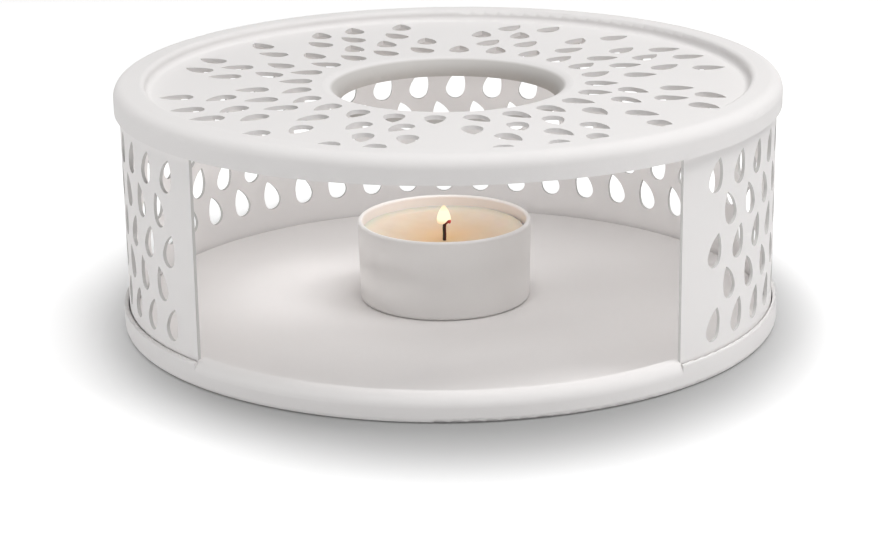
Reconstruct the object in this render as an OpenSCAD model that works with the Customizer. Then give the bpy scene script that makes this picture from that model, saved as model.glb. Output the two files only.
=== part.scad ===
// Teapot warmer: a round perforated steel stand that keeps a pot warm over a tealight.
// A lid carries the pot, a pierced band with one wide window carries the lid, and a
// tray closes the bottom. A tealight in its cup stands on the floor of the tray.
// Millimetres, +Z up, window toward -Y, origin at the centre of the face it stands on.

/* [Body] */
// Outer diameter of the lid and of the tray
body_d = 160; // [150:1:180]
// Height from the table to the top of the lid
body_h = 60; // [54:1:72]
// Thickness of the coated steel sheet of the lid and the tray
sheet = 1; // [0.8:0.1:1.2]
// Thickness of the band's thinner sheet
band_sheet = 0.8; // [0.6:0.1:1]
// Play between the band and the pressings that hold it
seat_gap = 0.3; // [0.2:0.05:0.4]

/* [Lid] */
// Height of the lid from its top to the lower edge of its skirt
skirt_h = 6.4; // [5.5:0.1:8]
// Inside radius of the bend between the top and the skirt
skirt_bend = 2; // [1:0.1:2.5]
// Width of the raised ring, from the outer edge to the step
ring_w = 7.6; // [6.5:0.1:10]
// How far the seat lies below the ring
seat_depth = 2.8; // [1.7:0.1:3.4]
// Inside radius of the two small bends of the step
step_bend = 0.3; // [0.2:0.05:0.4]
// Clear diameter of the hole in the middle
hole_d = 52.6; // [46:0.2:58]
// Inside radius of the bend that rolls the collar down
collar_bend = 3; // [2:0.1:3.5]
// Height of the collar, from the seat to its lower edge
collar_h = 4.6; // [4.6:0.1:6]

/* [Band] */
// Angle of the open window at the front
window_angle = 87.4; // [76:0.2:96]
// Plain strip right of the window, up to the middle of the first drop
margin_right = 11.6; // [8:0.1:14]
// Plain strip left of the window, up to the middle of the last drop
margin_left = 9.8; // [8:0.1:14]
// Distance between drops along a row, kept as nearly as whole drops allow
drop_pitch = 10.16; // [9.8:0.02:13]
// Distance between rows, kept as nearly as whole rows allow
row_pitch = 8.75; // [8.6:0.05:11]
// From the tray's rim to the middle of the lowest row
row_foot = 5.6; // [4.4:0.1:7]
// From the lid's skirt to the middle of the highest row
row_head = 6.8; // [5.4:0.1:8]
// Shift of every second row, as a share of the pitch
row_stagger = 0.6; // [0.4:0.02:0.6]

/* [Drops] */
// Width of a drop
drop_w = 5; // [4:0.1:5.2]
// Radius of the two long flanks, which sets how far the point reaches
flank_r = 7.7; // [6:0.1:8]
// Lean of the drops, one way in one row and the other way in the next
drop_lean = 17; // [0:1:20]
// How far a drop's middle lies toward its point, as a share of the point's reach
drop_balance = 0.18; // [0.1:0.01:0.25]

/* [Lid pattern] */
// Rings of drops round the hole
ring_count = 4; // [2:1:4]
// From the hole's edge to the middle of the first ring
ring_start = 10.1; // [9.4:0.1:11]
// From the step to the middle of the last ring
ring_end = 8.1; // [7.5:0.1:10]
// Sideways shift of every second ring
ring_shift = 4.8; // [4.2:0.1:5]
// Turn of the whole pattern
pattern_turn = 13.3; // [0:0.1:30]
// Heading of each line of drops in a quarter, away from straight out
line_heading = [11, 3, -11, -7, -1, -14];

/* [Tray] */
// Height of the rim outside the band
rim_h = 6.1; // [5:0.1:8]
// Height of the lip that the rim rolls into below the window
lip_h = 6.6; // [5.6:0.1:8]
// Width of the lip, from the outer edge to its free edge
lip_w = 3.9; // [3.8:0.1:6]
// Inside radius of the bend that rolls the lip in
lip_bend = 2; // [1:0.1:2.2]
// Height of the floor's underside above the table
floor_lift = 1.8; // [1.8:0.1:2.6]
// Inside radius of the small bends of the groove
groove_bend = 0.25; // [0.15:0.05:0.25]

/* [Candle] */
// Outer diameter of the cup at its rim
cup_d = 42.6; // [40:0.2:46]
// Height of the cup
cup_h = 19.9; // [16:0.1:22]
// Wall and floor thickness of the cup
cup_wall = 1.2; // [1:0.1:1.6]
// How much the cup narrows toward its foot, on the diameter
cup_taper = 0.8; // [0:0.1:1.6]
// Radius of the cup's foot edge
cup_foot_r = 1; // [0.5:0.1:1]
// Where the cup stands, to the right of the middle
cup_x = -1.4; // [-3:0.1:3]
// Where the cup stands, to the back of the middle
cup_y = 1.8; // [-3:0.1:5]
// Depth of the wax below the cup's rim
wax_drop = 3.2; // [2.4:0.1:5]
// Depth of the hollow round the wick
wax_hollow = 2; // [0.8:0.1:2.4]
// Width of the hollow, as a share of the wax
hollow_share = 0.8; // [0.5:0.05:0.9]
// Diameter of the wick
wick_d = 1.2; // [1:0.1:1.6]
// Height of the wick above the hollow, up to its bend
wick_h = 4; // [3:0.1:6]
// Length of the wick's bent tip
wick_tip = 2.2; // [1.5:0.1:3]
// Diameter of the sustainer disc that holds the wick at the floor
sustainer_d = 13; // [11:0.5:16]

/* [Hidden] */
$fn = 96;
cut = 1;

body_r = body_d / 2;
bore_r = body_r - sheet;

// Lid
lid_bend_x = bore_r - skirt_bend;
lid_under = body_h - sheet;
step_x = body_r - ring_w;
seat_z = body_h - seat_depth;
step_low_bend = seat_depth - step_bend - sheet;
hole_r = hole_d / 2;
collar_x = hole_r + sheet + collar_bend;
collar_z = seat_z - sheet - collar_bend;

// Tray
floor_z = floor_lift + sheet;
wall_x = bore_r - 2 * seat_gap - band_sheet;
groove_x = wall_x + groove_bend;
floor_x = wall_x - sheet - groove_bend;
bend_low_z = groove_bend + sheet;
bend_high_z = floor_lift - groove_bend;
lip_x = bore_r - lip_bend;
lip_z = lip_h - sheet - lip_bend;
lip_edge = body_r - lip_w;
lip_lap = 0.3;
lap_angle = lip_lap / body_r * 180 / PI;

// Band
band_r = bore_r - seat_gap;
band_z = sheet;
band_top = lid_under - skirt_bend;
first_row = rim_h + row_foot;
last_row = body_h - skirt_h - row_head;
row_gaps = max(1, round((last_row - first_row) / row_pitch));
row_step = (last_row - first_row) / row_gaps;
right_angle = margin_right / band_r * 180 / PI;
left_angle = margin_left / band_r * 180 / PI;
pattern_angle = 360 - window_angle - right_angle - left_angle;
drop_gaps = round(pattern_angle * PI / 180 * band_r / drop_pitch);
drop_step = pattern_angle / drop_gaps;
window_edge = 270 + window_angle / 2;
window_reach = 2 * body_r;

// Drops
drop_r = drop_w / 2;
drop_point = sqrt(2 * flank_r * drop_r - drop_r * drop_r);
drop_middle = drop_balance * drop_point;

// Lid pattern
lines = len(line_heading);
line_step = 90 / lines;
first_ring = hole_r + ring_start;
last_ring = step_x - ring_end;
ring_step = (last_ring - first_ring) / (ring_count - 1);

// Candle
cup_r = cup_d / 2;
cup_foot = cup_r - cup_taper / 2;
cup_floor = cup_wall;
cup_rim_z = cup_h - cup_wall / 2;
wax_gap = 0.1;
wax_top = cup_h - wax_drop;
wax_r = cup_r - cup_wall - wax_gap;
wax_foot = cup_foot - cup_wall - wax_gap;
hollow_z = wax_top - wax_hollow;
hollow_w = hollow_share * wax_foot;
hollow_r = (hollow_w * hollow_w + wax_hollow * wax_hollow) / (2 * wax_hollow);
wick_r = wick_d / 2;
bent_tip = 60;
disc_h = 0.5;
neck_wall = 0.5;
neck_h = 3;

// A quarter turn of bent sheet round (x, z). The quarter lies up and out, turned by spin.
module bend(x, z, inside, spin) {
    translate([x, z])
        rotate(spin)
            intersection() {
                difference() {
                    circle(r = inside + sheet);
                    circle(r = inside);
                }
                square(inside + 2 * sheet);
            }
}

// A flat or upright run of sheet between two corners.
module run(x0, z0, x1, z1) {
    translate([x0, z0])
        square([x1 - x0, z1 - z0]);
}

// One teardrop with its point toward +Y, about its middle.
module drop() {
    translate([0, -drop_middle]) {
        intersection() {
            circle(r = drop_r);
            translate([-drop_w, -drop_w])
                square([2 * drop_w, drop_w]);
        }
        intersection() {
            translate([drop_r - flank_r, 0])
                circle(r = flank_r);
            translate([flank_r - drop_r, 0])
                circle(r = flank_r);
            translate([-drop_w, 0])
                square([2 * drop_w, 2 * flank_r]);
        }
    }
}

// Section of the lid: skirt, edge, ring, step, seat and collar.
module lid_section() {
    run(bore_r, body_h - skirt_h, body_r, lid_under - skirt_bend);
    bend(lid_bend_x, lid_under - skirt_bend, skirt_bend, 0);
    run(step_x + step_bend + sheet, lid_under, lid_bend_x, body_h);
    bend(step_x + step_bend + sheet, lid_under - step_bend, step_bend, 90);
    bend(step_x - step_low_bend, lid_under - step_bend, step_low_bend, 270);
    run(collar_x, seat_z - sheet, step_x - step_low_bend, seat_z);
    bend(collar_x, collar_z, collar_bend, 90);
    run(hole_r, seat_z - collar_h, hole_r + sheet, collar_z);
}

// Holes of the lid: straight lines of drops, six to a quarter, that lean by turns.
module lid_drops() {
    for (quarter = [0 : 3])
        for (k = [0 : lines - 1])
            rotate([0, 0, pattern_turn + 90 * quarter + line_step * k])
                translate([first_ring, 0, seat_z - sheet - cut])
                    rotate([0, 0, line_heading[k]])
                        for (i = [0 : ring_count - 1])
                            translate([i * ring_step, -(i % 2) * ring_shift, 0])
                                rotate([0, 0, (i % 2 == 0 ? drop_lean : -drop_lean) - 90])
                                    linear_extrude(height = sheet + 2 * cut)
                                        drop();
}

// Holes of the band: staggered rows that lean by turns, cut straight in from outside.
module band_drops() {
    for (i = [0 : row_gaps])
        for (k = [0 : drop_gaps - i % 2])
            rotate([0, 0, window_edge + right_angle + (k + (i % 2) * row_stagger) * drop_step])
                translate([band_r - band_sheet - cut, 0, first_row + i * row_step])
                    rotate([90, 0, 90])
                        rotate([0, 0, i % 2 == 0 ? -drop_lean : drop_lean])
                            linear_extrude(height = band_sheet + 2 * cut)
                                drop();
}

module top_plate() {
    color("White")
        difference() {
            rotate_extrude()
                lid_section();
            lid_drops();
        }
}

module side_band() {
    color("White")
        difference() {
            translate([0, 0, band_z])
                cylinder(r = band_r, h = band_top - band_z);
            cylinder(r = band_r - band_sheet, h = body_h);
            wedge(window_angle);
            band_drops();
        }
}

// A wedge at the front, such as the one that opens the band.
module wedge(angle) {
    linear_extrude(height = body_h)
        polygon([
            [0, 0],
            [-window_reach * sin(angle / 2), -window_reach * cos(angle / 2)],
            [window_reach * sin(angle / 2), -window_reach * cos(angle / 2)]
        ]);
}

// Section of the tray: foot of the wall, groove for the band, and raised floor.
module tray_section() {
    run(bore_r, bend_low_z, body_r, lip_z);
    bend(bore_r - groove_bend, bend_low_z, groove_bend, 270);
    run(groove_x, 0, bore_r - groove_bend, sheet);
    bend(groove_x, bend_low_z, groove_bend, 180);
    run(wall_x - sheet, bend_low_z, wall_x, bend_high_z);
    bend(floor_x, bend_high_z, groove_bend, 0);
    run(0, floor_lift, floor_x, floor_z);
}

// Rounded edge of the sheet, with its middle at (x, z).
module rounded_edge(x, z) {
    translate([x, z])
        circle(d = sheet);
}

// Section of the rim that stands round the outside of the band.
module rim_section() {
    run(bore_r, lip_z, body_r, rim_h - sheet / 2);
    rounded_edge(body_r - sheet / 2, rim_h - sheet / 2);
}

// Section of the lip below the window, where no band stands.
module lip_section() {
    bend(lip_x, lip_z, lip_bend, 0);
    run(lip_edge + sheet / 2, lip_h - sheet, lip_x, lip_h);
    rounded_edge(lip_edge + sheet / 2, lip_h - sheet / 2);
}

module base_tray() {
    color("White") {
        rotate_extrude()
            tray_section();
        difference() {
            rotate_extrude()
                rim_section();
            wedge(window_angle - 2 * lap_angle);
        }
        intersection() {
            rotate_extrude()
                lip_section();
            wedge(window_angle);
        }
    }
}

// Everything of the candle stands on the floor of the tray, where the cup stands.
module on_floor() {
    translate([cup_x, cup_y, floor_z])
        children();
}

module tealight_cup() {
    color("White")
        on_floor()
            rotate_extrude()
                cup_section();
}

// Section of the cup: foot with its rounded lower edge, slanted wall and rounded rim.
module cup_section() {
    square([cup_foot - cup_foot_r, cup_floor]);
    intersection() {
        translate([cup_foot - cup_foot_r, cup_foot_r])
            circle(r = cup_foot_r);
        translate([cup_foot - cup_foot_r, 0])
            square(cup_foot_r);
    }
    polygon([
        [cup_foot - cup_foot_r, cup_foot_r],
        [cup_foot, cup_foot_r],
        [cup_r, cup_rim_z],
        [cup_r - cup_wall, cup_rim_z],
        [cup_foot - cup_wall, cup_floor],
        [cup_foot - cup_foot_r, cup_floor]
    ]);
    translate([cup_r - cup_wall / 2, cup_rim_z])
        circle(d = cup_wall);
}

module candle_wax() {
    color("Ivory")
        on_floor()
            difference() {
                translate([0, 0, cup_floor])
                    cylinder(r1 = wax_foot, r2 = wax_r, h = wax_top - cup_floor);
                translate([0, 0, hollow_z + hollow_r])
                    sphere(r = hollow_r);
                cylinder(d = sustainer_d, h = cup_floor + disc_h);
                cylinder(r = wick_r + neck_wall, h = cup_floor + disc_h + neck_h);
                cylinder(r = wick_r + wax_gap, h = cup_h);
            }
}

module wick() {
    color("DimGray")
        on_floor() {
            translate([0, 0, cup_floor + disc_h])
                cylinder(r = wick_r, h = hollow_z + wick_h - cup_floor - disc_h);
            translate([0, 0, hollow_z + wick_h])
                sphere(r = wick_r);
            translate([0, 0, hollow_z + wick_h])
                rotate([0, bent_tip, 0])
                    cylinder(r = wick_r, h = wick_tip);
        }
}

module wick_sustainer() {
    color("Silver")
        on_floor()
            translate([0, 0, cup_floor]) {
                cylinder(d = sustainer_d, h = disc_h);
                difference() {
                    cylinder(r = wick_r + neck_wall, h = disc_h + neck_h);
                    translate([0, 0, disc_h])
                        cylinder(r = wick_r, h = neck_h + cut);
                }
            }
}

top_plate();
side_band();
base_tray();
tealight_cup();
candle_wax();
wick();
wick_sustainer();
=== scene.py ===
import math

import bmesh
import bpy
from mathutils import Matrix, Vector, noise


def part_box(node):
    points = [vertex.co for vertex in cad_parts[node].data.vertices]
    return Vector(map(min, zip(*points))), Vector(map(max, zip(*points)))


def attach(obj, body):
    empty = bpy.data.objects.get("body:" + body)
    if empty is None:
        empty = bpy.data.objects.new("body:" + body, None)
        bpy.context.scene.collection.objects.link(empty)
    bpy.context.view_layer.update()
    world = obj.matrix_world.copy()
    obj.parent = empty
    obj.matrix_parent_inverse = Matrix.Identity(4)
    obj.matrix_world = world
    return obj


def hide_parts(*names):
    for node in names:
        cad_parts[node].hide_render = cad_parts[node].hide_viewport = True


# Looks of the teapot warmer: coated steel, a matt cup, wax, wick and flame, in a white studio.
# Lengths are in metres in the frame of the CAD model, and MM is a millimetre.
# Lamps are in watts. Colours are linear red, green and blue.
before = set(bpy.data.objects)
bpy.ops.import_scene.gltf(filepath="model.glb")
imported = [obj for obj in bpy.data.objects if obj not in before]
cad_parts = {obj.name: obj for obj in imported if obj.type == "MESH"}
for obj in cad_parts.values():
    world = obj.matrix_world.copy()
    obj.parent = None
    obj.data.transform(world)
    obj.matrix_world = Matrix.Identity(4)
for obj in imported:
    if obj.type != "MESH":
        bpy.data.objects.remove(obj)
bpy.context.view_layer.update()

MM = 0.001

# The camera of the photograph
PHOTO_WIDTH = 888
PHOTO_HEIGHT = 559
FOCAL_PIXELS = 2447.1
AIM_COLUMN = 450.77
AIM_ROW = 307.62
CAMERA_DISTANCE = 607.03 * MM
CAMERA_TILT = math.radians(18.44)
CAMERA_TURN = math.radians(3.06)
CAMERA_ROLL = math.radians(-0.75)
SENSOR_WIDTH = 36.0

# Powder coat. The tray and band take lighter copies of the lid's coat, as painted light, and the lid's
# collar is painted shade.
LID_TONE = 0.825
TRAY_TONE_PAINTED_LIGHTER = 0.855
BAND_TONE_PAINTED_LIGHTER = 0.86
CUT_COLOUR = (0.62, 0.61, 0.6)
COLLAR_PAINTED_SHADE = (0.56, 0.54, 0.52)
COLLAR_OUTSIDE = 28.6 * MM
COLLAR_INSIDE = 27.8 * MM

# Candle
WAX_HOLLOW = 2.6 * MM
WAX_MENISCUS = 0.5 * MM
WAX_GAP = 0.6 * MM
WAX_GAP_SIDE = Vector((math.cos(math.radians(15)), math.sin(math.radians(15)), 0))
# How far from the wick the wax's painted glow reaches
WAX_PAINTED_GLOW_REACH = 20 * MM
WICK_WIDTH = 1.2 * MM
WICK_BEND = 1.1 * MM
BURNT_OFF = 0.8 * MM
EMBER_LENGTH = 1.6 * MM
FLAME_WIDTH = 3.5 * MM
FLAME_HEIGHT = 4.7 * MM
FLAME_POWER = 0.0014

# Paper under the warmer: the middle of the shadow painted on it and where that fades out
SHADOW_WIDENING = (1.2, 1, 1)
SHADOW_SHIFT = (-5 * MM, 7.5 * MM, 0)
SHADOW_NEAR = 72 * MM
SHADOW_FAR = 118 * MM
WHITE_NEAR = 86 * MM
WHITE_FAR = 140 * MM
FLOOR_REACH = 3.0

# Studio light: the world's, and three keys in a row over the warmer
WORLD_LIGHT = 0.13
KEY_STEP = 0.28
KEY_SHIFT = 0.16
KEY_FRONT = -0.2
KEY_HEIGHT = 1.05

# Soft light inside the warmer, from a ring of small lamps under the lid
UNDER_LID_LAMPS = 12
UNDER_LID_RADIUS = 44 * MM
UNDER_LID_HEIGHT = 38 * MM
UNDER_LID_AIM_RADIUS = 62 * MM
UNDER_LID_AIM_HEIGHT = 20 * MM
UNDER_LID_POWER = 0.00178


def box_centre(node):
    low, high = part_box(node)
    return (low + high) / 2


def along_up(height):
    return Vector((0, 0, height))


def new_material(name):
    """A node material, its nodes, its links and its Principled shader."""
    material = bpy.data.materials.new(name)
    material.use_nodes = True
    tree = material.node_tree
    return material, tree.nodes, tree.links, tree.nodes["Principled BSDF"]


def object_noise(nodes, links, scale, detail=3.0):
    """Noise fixed to the object. Scale is in features per metre."""
    place = nodes.new("ShaderNodeTexCoord")
    texture = nodes.new("ShaderNodeTexNoise")
    texture.inputs["Scale"].default_value = scale
    texture.inputs["Detail"].default_value = detail
    texture.inputs["Roughness"].default_value = 0.5
    links.new(place.outputs["Object"], texture.inputs["Vector"])
    return texture.outputs["Fac"]


def ramp(nodes, links, source, stops):
    """A colour ramp over source. Stops are (position, colour)."""
    curve = nodes.new("ShaderNodeValToRGB")
    elements = curve.color_ramp.elements
    while len(elements) < len(stops):
        elements.new(0.5)
    for element, (position, colour) in zip(elements, stops):
        element.position = position
        element.color = (*colour, 1.0)
    links.new(source, curve.inputs["Fac"])
    return curve.outputs["Color"]


def grey_ramp(nodes, links, source, first, last):
    """A ramp over source between two stops of (position, grey)."""
    return ramp(nodes, links, source, [(position, (grey,) * 3) for position, grey in (first, last)])


def map_range(nodes, links, source, near, far, low=0.0, high=1.0, smooth=False):
    """Maps source from near..far to low..high, and holds it at the ends."""
    share = nodes.new("ShaderNodeMapRange")
    if smooth:
        share.interpolation_type = "SMOOTHSTEP"
    share.inputs["From Min"].default_value = near
    share.inputs["From Max"].default_value = far
    share.inputs["To Min"].default_value = low
    share.inputs["To Max"].default_value = high
    links.new(source, share.inputs["Value"])
    return share.outputs["Result"]


def spread(nodes, links, source, low, high):
    """Maps source from 0..1 to low..high."""
    return map_range(nodes, links, source, 0.0, 1.0, low, high)


def vector_math(nodes, links, operation, *sources):
    """A vector node. A source is another node's output or a plain vector."""
    node = nodes.new("ShaderNodeVectorMath")
    node.operation = operation
    for socket, source in zip(node.inputs, sources):
        if isinstance(source, tuple):
            socket.default_value = source
        else:
            links.new(source, socket)
    return node.outputs["Value" if operation in ("LENGTH", "DOT_PRODUCT") else "Vector"]


def distance_in_plan(nodes, links, scale=(1.0, 1.0, 0.0), shift=(0.0, 0.0, 0.0)):
    """Distance from the upright axis, once the place is scaled and shifted."""
    place = nodes.new("ShaderNodeTexCoord").outputs["Object"]
    flat = vector_math(nodes, links, "MULTIPLY_ADD", place, scale, shift)
    return vector_math(nodes, links, "LENGTH", flat)


def object_axis(nodes, links, axis):
    """The object coordinate along the axis X, Y or Z."""
    place = nodes.new("ShaderNodeTexCoord")
    parts = nodes.new("ShaderNodeSeparateXYZ")
    links.new(place.outputs["Object"], parts.inputs["Vector"])
    return parts.outputs[axis]


def bump(nodes, links, shader, height, distance, strength=1.0, normal=None):
    """Gives the shader a fine relief."""
    relief = nodes.new("ShaderNodeBump")
    relief.inputs["Distance"].default_value = distance
    relief.inputs["Strength"].default_value = strength
    links.new(height, relief.inputs["Height"])
    if normal is not None:
        links.new(normal, relief.inputs["Normal"])
    links.new(relief.outputs["Normal"], shader.inputs["Normal"])


def cut_faces(nodes, links):
    """1 where an upright round wall was cut through, and 0 on its inner and outer faces."""
    place = nodes.new("ShaderNodeTexCoord")
    flat = vector_math(nodes, links, "MULTIPLY", place.outputs["Object"], (1.0, 1.0, 0.0))
    outward = vector_math(nodes, links, "NORMALIZE", flat)
    facing = vector_math(nodes, links, "DOT_PRODUCT", outward, place.outputs["Normal"])
    size = nodes.new("ShaderNodeMath")
    size.operation = "ABSOLUTE"
    links.new(facing, size.inputs[0])
    return map_range(nodes, links, size.outputs["Value"], 0.75, 0.55)


def blend_tone(nodes, links, share, colour, other):
    """Colour where share is 0 and other, a plain colour, where it is 1."""
    blend = nodes.new("ShaderNodeMix")
    blend.data_type = "RGBA"
    links.new(share, blend.inputs["Factor"])
    links.new(colour, blend.inputs["A"])
    blend.inputs["B"].default_value = (*other, 1.0)
    return blend.outputs["Result"]


def powder_coat(name, tone, cut=False, collar=False):
    """Matt white powder coat on steel: a fine orange peel, grey where a wall was cut,
    and a painted shade of darker grey inside the lid's collar."""
    material, nodes, links, shader = new_material(name)
    cloud = object_noise(nodes, links, 22.0)
    colour = ramp(nodes, links, cloud, [
        (0.3, (tone - 0.01, tone - 0.03, tone - 0.038)),
        (0.7, (tone + 0.01, tone - 0.01, tone - 0.018)),
    ])
    if cut:
        colour = blend_tone(nodes, links, cut_faces(nodes, links), colour, CUT_COLOUR)
    # Painted shade: inside the lid's collar the coat turns a darker grey, where little light falls.
    if collar:
        inside = map_range(nodes, links, distance_in_plan(nodes, links), COLLAR_OUTSIDE, COLLAR_INSIDE)
        colour = blend_tone(nodes, links, inside, colour, COLLAR_PAINTED_SHADE)
    links.new(colour, shader.inputs["Base Color"])
    haze = object_noise(nodes, links, 260.0, detail=4.0)
    links.new(spread(nodes, links, haze, 0.58, 0.72), shader.inputs["Roughness"])
    peel = object_noise(nodes, links, 1500.0, detail=2.0)
    bump(nodes, links, shader, peel, 0.02 * MM, 0.6)
    shader.inputs["Specular IOR Level"].default_value = 0.3
    return material


def cup_ceramic():
    """Matt white cup, a little smoother than the coat."""
    material, nodes, links, shader = new_material("matt_white_cup")
    cloud = object_noise(nodes, links, 60.0)
    colour = ramp(nodes, links, cloud, [
        (0.3, (0.87, 0.85, 0.835)),
        (0.7, (0.89, 0.87, 0.855)),
    ])
    links.new(colour, shader.inputs["Base Color"])
    haze = object_noise(nodes, links, 420.0)
    links.new(spread(nodes, links, haze, 0.36, 0.5), shader.inputs["Roughness"])
    edge = nodes.new("ShaderNodeBevel")
    edge.samples = 4
    edge.inputs["Radius"].default_value = 0.3 * MM
    grain = object_noise(nodes, links, 2200.0, detail=2.0)
    bump(nodes, links, shader, grain, 0.01 * MM, 0.5, edge.outputs["Normal"])
    return material


def brushed_tin():
    """Tinned steel of the wick's foot, with fine scratches."""
    material, nodes, links, shader = new_material("tin")
    shader.inputs["Metallic"].default_value = 1.0
    scratches = object_noise(nodes, links, 3000.0)
    colour = ramp(nodes, links, scratches, [
        (0.35, (0.60, 0.59, 0.57)),
        (0.65, (0.70, 0.69, 0.67)),
    ])
    links.new(colour, shader.inputs["Base Color"])
    links.new(spread(nodes, links, scratches, 0.25, 0.5), shader.inputs["Roughness"])
    return material


def candle_wax():
    """Cream wax, deeper orange toward the wick as a painted glow of the flame, glossy where it has
    melted.
    """
    material, nodes, links, shader = new_material("cream_wax")
    centre = box_centre("candle_wax")
    from_wick = distance_in_plan(nodes, links, shift=(-centre.x, -centre.y, 0.0))
    away = map_range(nodes, links, from_wick, 0.0, WAX_PAINTED_GLOW_REACH)
    cloud = object_noise(nodes, links, 160.0, detail=4.0)
    warped = nodes.new("ShaderNodeMath")
    warped.operation = "MULTIPLY_ADD"
    warped.inputs[1].default_value = 0.25
    links.new(cloud, warped.inputs[0])
    links.new(away, warped.inputs[2])
    # Painted glow: the wax's colour is deeper orange near the wick, where the flame lights it.
    colour = ramp(nodes, links, warped.outputs["Value"], [
        (0.2, (0.55, 0.39, 0.2)),
        (0.62, (0.60, 0.47, 0.33)),
        (1.0, (0.72, 0.62, 0.51)),
    ])
    links.new(colour, shader.inputs["Base Color"])
    shader.inputs["Subsurface Weight"].default_value = 0.8
    shader.inputs["Subsurface Radius"].default_value = (1.0, 0.55, 0.28)
    shader.inputs["Subsurface Scale"].default_value = 3.0 * MM
    wet = grey_ramp(nodes, links, warped.outputs["Value"], (0.3, 0.38), (0.9, 0.5))
    links.new(wet, shader.inputs["Roughness"])
    bump(nodes, links, shader, cloud, 0.12 * MM, 0.5)
    return material


def burnt_wick(top):
    """Charred cotton that glows red toward its tip."""
    material, nodes, links, shader = new_material("burnt_wick")
    fibres = object_noise(nodes, links, 5000.0)
    colour = ramp(nodes, links, fibres, [
        (0.35, (0.012, 0.009, 0.008)),
        (0.7, (0.05, 0.035, 0.028)),
    ])
    links.new(colour, shader.inputs["Base Color"])
    shader.inputs["Roughness"].default_value = 0.85
    side = object_axis(nodes, links, "X")
    heat = map_range(nodes, links, side, top.x - EMBER_LENGTH, top.x)
    ember = ramp(nodes, links, heat, [
        (0.0, (0.0, 0.0, 0.0)),
        (0.35, (0.12, 0.004, 0.002)),
        (1.0, (0.55, 0.03, 0.015)),
    ])
    links.new(ember, shader.inputs["Emission Color"])
    shader.inputs["Emission Strength"].default_value = 1.0
    bump(nodes, links, shader, fibres, 0.1 * MM)
    return material


def flame_glow(low, high):
    """Pale yellow fire, whitest in the middle of its height."""
    material, nodes, links, shader = new_material("flame")
    nodes.remove(shader)
    height = map_range(nodes, links, object_axis(nodes, links, "Z"), low, high)
    colour = ramp(nodes, links, height, [
        (0.0, (1.0, 0.55, 0.28)),
        (0.3, (1.0, 0.92, 0.66)),
        (0.7, (1.0, 0.93, 0.68)),
        (1.0, (1.0, 0.80, 0.50)),
    ])
    glow = nodes.new("ShaderNodeEmission")
    glow.inputs["Strength"].default_value = 1.15
    links.new(colour, glow.inputs["Color"])
    links.new(glow.outputs["Emission"], nodes["Material Output"].inputs["Surface"])
    return material


def add_object(name, data):
    """An object in the scene for a mesh, a lamp or a camera."""
    thing = bpy.data.objects.new(name, data)
    bpy.context.scene.collection.objects.link(thing)
    return thing


def smooth_piece(name, shape, material):
    """A smooth piece from a finished bmesh."""
    bmesh.ops.recalc_face_normals(shape, faces=shape.faces)
    mesh = bpy.data.meshes.new(name)
    shape.to_mesh(mesh)
    shape.free()
    mesh.shade_smooth()
    mesh.materials.append(material)
    return add_object(name, mesh)


def lathe(name, outline, centre, material, segments, shift=None):
    """Turns an outline of (radius, height) points round the upright through centre.
    An outline point with no radius is a pole. Shift moves a finished point."""
    shape = bmesh.new()
    turns = [2 * math.pi * k / segments for k in range(segments)]
    rings = []
    for radius, height in outline:
        ring = []
        for a in turns if radius else [0]:
            x = centre.x + radius * math.cos(a)
            y = centre.y + radius * math.sin(a)
            ring.append(shape.verts.new((x, y, height)))
        rings.append(ring)
    for lower, upper in zip(rings, rings[1:]):
        for k in range(segments):
            after = (k + 1) % segments
            if len(lower) == 1:
                shape.faces.new((lower[0], upper[after], upper[k]))
            elif len(upper) == 1:
                shape.faces.new((lower[k], lower[after], upper[0]))
            else:
                shape.faces.new((lower[k], lower[after], upper[after], upper[k]))
    if shift is not None:
        for vert in shape.verts:
            vert.co = shift(vert.co)
    return smooth_piece(name, shape, material)


def tube(name, path, widths, material, sides, twist):
    """A closed tube of three twisted strands round a path, with a radius for each of its points."""
    shape = bmesh.new()
    rings = []
    for k, (point, radius) in enumerate(zip(path, widths)):
        before = path[max(0, k - 1)]
        after = path[min(len(path) - 1, k + 1)]
        along = (after - before).normalized()
        side = along.cross(Vector((0, 1, 0))).normalized()
        other = along.cross(side)
        ring = []
        for j in range(sides):
            a = 2 * math.pi * j / sides + twist * k
            strand = 1 + 0.1 * math.cos(3 * (a + 2.2 * twist * k))
            out = side * math.cos(a) + other * math.sin(a)
            ring.append(shape.verts.new(point + radius * strand * out))
        rings.append(ring)
    for lower, upper in zip(rings, rings[1:]):
        for j in range(sides):
            after = (j + 1) % sides
            shape.faces.new((lower[j], lower[after], upper[after], upper[j]))
    shape.faces.new(rings[0])
    shape.faces.new(rings[-1])
    return smooth_piece(name, shape, material)


def even_steps(low, high, count):
    return [low + (high - low) * k / count for k in range(count + 1)]


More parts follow.
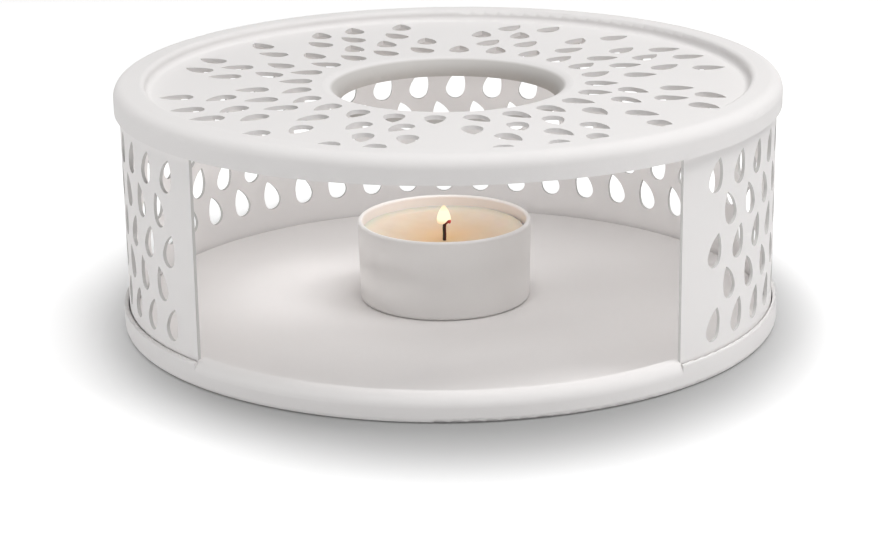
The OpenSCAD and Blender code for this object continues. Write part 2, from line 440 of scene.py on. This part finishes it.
def make_wax():
    """The tealight's wax. It clings to the cup at its edge, all but at WAX_GAP_SIDE, and has
    melted to a dish round the wick."""
    low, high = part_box("candle_wax")
    centre = box_centre("candle_wax")
    edge = (high.x - low.x) / 2
    foot = edge - 0.4 * MM
    dish = 0.88 * edge

    def height(radius):
        bowl = WAX_HOLLOW * max(0.0, 1 - (radius / dish) ** 2)
        cling = WAX_MENISCUS * math.exp((radius - edge) / (0.7 * MM))
        return high.z - bowl + cling

    outline = [(0, low.z), (foot, low.z), (edge, high.z), (edge, height(edge))]
    outline += [(r, height(r)) for r in reversed(even_steps(edge / 60, edge, 60)) if r < edge]
    outline.append((0, height(0)))

    def ripple(point):
        if point.z < high.z - 2 * WAX_HOLLOW:
            return point
        lift = 0.12 * MM * noise.noise(point * 140) + 0.05 * MM * noise.noise(point * 420)
        out = Vector((point.x - centre.x, point.y - centre.y, 0))
        near_edge = max(0.0, out.length / edge - 0.8) / 0.2
        loose = max(0.0, out.normalized().dot(WAX_GAP_SIDE)) ** 6
        return point + along_up(lift) - WAX_GAP * near_edge * loose * out.normalized()

    wax = lathe("wax", outline, centre, candle_wax(), segments=160, shift=ripple)
    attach(wax, "root")
    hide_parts("candle_wax")


def make_wick():
    """A twisted cotton wick, charred and bent over at its top. Returns the middle of its bend."""
    low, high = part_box("wick")
    centre = box_centre("candle_wax")
    reach = high.x - centre.x - WICK_WIDTH / 2 - WICK_BEND
    shoulder = high.z - WICK_WIDTH / 2 - WICK_BEND - BURNT_OFF
    stem = [Vector((centre.x, centre.y, z)) for z in even_steps(low.z, shoulder, 24)]
    corner = [
        Vector((
            centre.x + WICK_BEND * (1 - math.cos(a)),
            centre.y,
            shoulder + WICK_BEND * math.sin(a),
        ))
        for a in even_steps(0, math.pi / 2, 8)[1:]
    ]
    tip = [
        Vector((centre.x + WICK_BEND + x, centre.y, shoulder + WICK_BEND - 0.25 * x))
        for x in even_steps(0, reach, 4)[1:]
    ]
    path = stem + corner + tip
    widths = [0.37 * WICK_WIDTH] * len(path)
    widths[-2:] = [0.42 * WICK_WIDTH, 0.2 * WICK_WIDTH]
    wick = tube("burnt_wick", path, widths, burnt_wick(path[-1]), sides=16, twist=0.25)
    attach(wick, "root")
    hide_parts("wick")
    return corner[3]


def make_flame(root):
    """A small steady flame that stands on the wick's bend, and its light."""
    low = root.z - 0.5 * MM
    centre = Vector((root.x - 0.5 * MM, root.y + 1.2 * MM, 0))
    outline = []
    for share in even_steps(0, 1, 28):
        width = (1 - share) ** 0.7 * share ** 0.2 / 0.621
        outline.append((FLAME_WIDTH / 2 * width, low + FLAME_HEIGHT * share))
    outline[0] = (0, low)
    outline[-1] = (0, low + FLAME_HEIGHT)
    flame = lathe("flame", outline, centre, flame_glow(low, low + FLAME_HEIGHT), segments=32)
    flame.visible_shadow = False
    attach(flame, "root")
    lamp = bpy.data.lights.new("flame_light", "POINT")
    lamp.energy = FLAME_POWER
    lamp.color = (1.0, 0.55, 0.36)
    lamp.shadow_soft_size = 1.5 * MM
    glow = add_object("flame_light", lamp)
    glow.location = (centre.x, centre.y, low + 0.6 * FLAME_HEIGHT)


def dress_frame():
    """Gives the CAD nodes their materials."""
    finishes = {
        # The band and tray get lighter copies of the lid's coat, a painted light.
        "top_plate": powder_coat("lid_powder_coat", LID_TONE, collar=True),
        "side_band": powder_coat("cut_powder_coat", BAND_TONE_PAINTED_LIGHTER, cut=True),
        "base_tray": powder_coat("white_powder_coat", TRAY_TONE_PAINTED_LIGHTER),
        "tealight_cup": cup_ceramic(),
        "wick_sustainer": brushed_tin(),
    }
    for node, material in finishes.items():
        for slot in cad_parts[node].material_slots:
            slot.material = material


def background_rays(nodes, links):
    """1 for the rays that show the background: from the camera, off a gloss or through glass."""
    path = nodes.new("ShaderNodeLightPath")
    share = path.outputs["Is Camera Ray"]
    for kind in ("Is Glossy Ray", "Is Transmission Ray"):
        most = nodes.new("ShaderNodeMath")
        most.operation = "MAXIMUM"
        links.new(share, most.inputs[0])
        links.new(path.outputs[kind], most.inputs[1])
        share = most.outputs["Value"]
    return share


def studio_floor_paper():
    """Diffuse paper with a painted shadow: greyer close to the warmer, and paper white further out
    where it is seen.
    """
    material, nodes, links, shader = new_material("studio_floor")
    shader.inputs["Roughness"].default_value = 1.0
    shader.inputs["Specular IOR Level"].default_value = 0.0
    away = distance_in_plan(nodes, links, SHADOW_WIDENING, SHADOW_SHIFT)
    reach = map_range(nodes, links, away, SHADOW_NEAR, SHADOW_FAR, smooth=True)
    # Painted shadow: the paper is grey near the warmer, darker where it is seen than for the light it
    # bounces.
    seen_painted_shadow = grey_ramp(nodes, links, reach, (0.0, 0.3), (1.0, 0.9))
    bounced_painted_shadow = grey_ramp(nodes, links, reach, (0.0, 0.62), (1.0, 0.9))
    shows = background_rays(nodes, links)
    paper = nodes.new("ShaderNodeMix")
    paper.data_type = "RGBA"
    links.new(shows, paper.inputs["Factor"])
    links.new(bounced_painted_shadow, paper.inputs["A"])
    links.new(seen_painted_shadow, paper.inputs["B"])
    links.new(paper.outputs["Result"], shader.inputs["Base Color"])
    seen = nodes.new("ShaderNodeMath")
    seen.operation = "MULTIPLY"
    links.new(shows, seen.inputs[0])
    white = map_range(nodes, links, away, WHITE_NEAR, WHITE_FAR, 0.07, 0.47, smooth=True)
    links.new(white, seen.inputs[1])
    shader.inputs["Emission Color"].default_value = (1.0, 1.0, 1.0, 1.0)
    links.new(seen.outputs["Value"], shader.inputs["Emission Strength"])
    return material


def make_floor():
    mesh = bpy.data.meshes.new("studio_floor")
    signs = ((-1, -1), (1, -1), (1, 1), (-1, 1))
    corners = [(x * FLOOR_REACH, y * FLOOR_REACH, 0) for x, y in signs]
    mesh.from_pydata(corners, [], [(0, 1, 2, 3)])
    mesh.materials.append(studio_floor_paper())
    add_object("studio_floor", mesh)


def area_lamp(name, place, size, power, aim=(0, 0, 0.03), height=None):
    """A square lamp, or a wide and low one where it has a height, that the camera doesn't see."""
    lamp = bpy.data.lights.new(name, "AREA")
    lamp.shape = "SQUARE"
    lamp.size = size
    if height is not None:
        lamp.shape = "ELLIPSE"
        lamp.size_y = height
    lamp.energy = power
    holder = add_object(name, lamp)
    holder.location = place
    holder.rotation_euler = (Vector(aim) - Vector(place)).to_track_quat("-Z", "Y").to_euler()
    holder.visible_camera = False


def light_studio():
    """A dim white world, lamps over the warmer, low lamps at its sides and small ones inside."""
    world = bpy.data.worlds.new("studio")
    bpy.context.scene.world = world
    world.use_nodes = True
    nodes = world.node_tree.nodes
    links = world.node_tree.links
    background = nodes["Background"]
    background.inputs["Color"].default_value = (1.0, 1.0, 1.0, 1.0)
    strength = spread(nodes, links, background_rays(nodes, links), WORLD_LIGHT, 1.0)
    links.new(strength, background.inputs["Strength"])
    for side in (-1, 0, 1):
        place = (KEY_STEP * side + KEY_SHIFT, KEY_FRONT, KEY_HEIGHT)
        area_lamp(f"key_above_{side + 1}", place, 0.75, 1.9)
    area_lamp("front_above", (0.1, -0.28, 1.1), 0.5, 2.3)
    area_lamp("near_right", (0.36, -0.08, 0.6), 0.25, 1.2)
    area_lamp("soft_left", (-1.0, -0.3, 0.052), 0.4, 2.8, height=0.08)
    area_lamp("soft_right", (0.8, -0.65, 0.052), 0.4, 1.35, height=0.08)
    area_lamp("cup_fill", (0, -0.06, 0.046), 0.014, 0.0009, aim=(0, 0, 0.01))
    for k in range(UNDER_LID_LAMPS):
        turn = 2 * math.pi * (k + 0.5) / UNDER_LID_LAMPS
        away = Vector((math.cos(turn), math.sin(turn), 0))
        place = UNDER_LID_RADIUS * away + along_up(UNDER_LID_HEIGHT)
        aim = UNDER_LID_AIM_RADIUS * away + along_up(UNDER_LID_AIM_HEIGHT)
        power = UNDER_LID_POWER * (1 - 0.07 * math.sin(turn) - 0.08 * math.cos(turn))
        area_lamp(f"under_lid_{k}", place, 0.022, power, aim)


def place_camera():
    """The camera that took the photograph, fitted to the object's outline."""
    forward = Vector((0, math.cos(CAMERA_TILT), -math.sin(CAMERA_TILT)))
    right = Vector((1, 0, 0))
    up = right.cross(forward)
    rolled_right = math.cos(CAMERA_ROLL) * right + math.sin(CAMERA_ROLL) * up
    rolled_up = math.cos(CAMERA_ROLL) * up - math.sin(CAMERA_ROLL) * right
    matrix = Matrix((rolled_right, rolled_up, -forward)).transposed().to_4x4()
    matrix.translation = -CAMERA_DISTANCE * forward
    lens = bpy.data.cameras.new("photo_camera")
    lens.sensor_fit = "HORIZONTAL"
    lens.sensor_width = SENSOR_WIDTH
    lens.lens = FOCAL_PIXELS / PHOTO_WIDTH * SENSOR_WIDTH
    lens.shift_x = (PHOTO_WIDTH / 2 - AIM_COLUMN) / PHOTO_WIDTH
    lens.shift_y = (AIM_ROW - PHOTO_HEIGHT / 2) / PHOTO_WIDTH
    lens.clip_start = 10 * MM
    camera = add_object("photo_camera", lens)
    camera.matrix_world = Matrix.Rotation(CAMERA_TURN, 4, "Z") @ matrix
    bpy.context.scene.camera = camera


bpy.context.scene.view_settings.view_transform = "Standard"
place_camera()
light_studio()
make_floor()
dress_frame()
make_wax()
make_flame(make_wick())
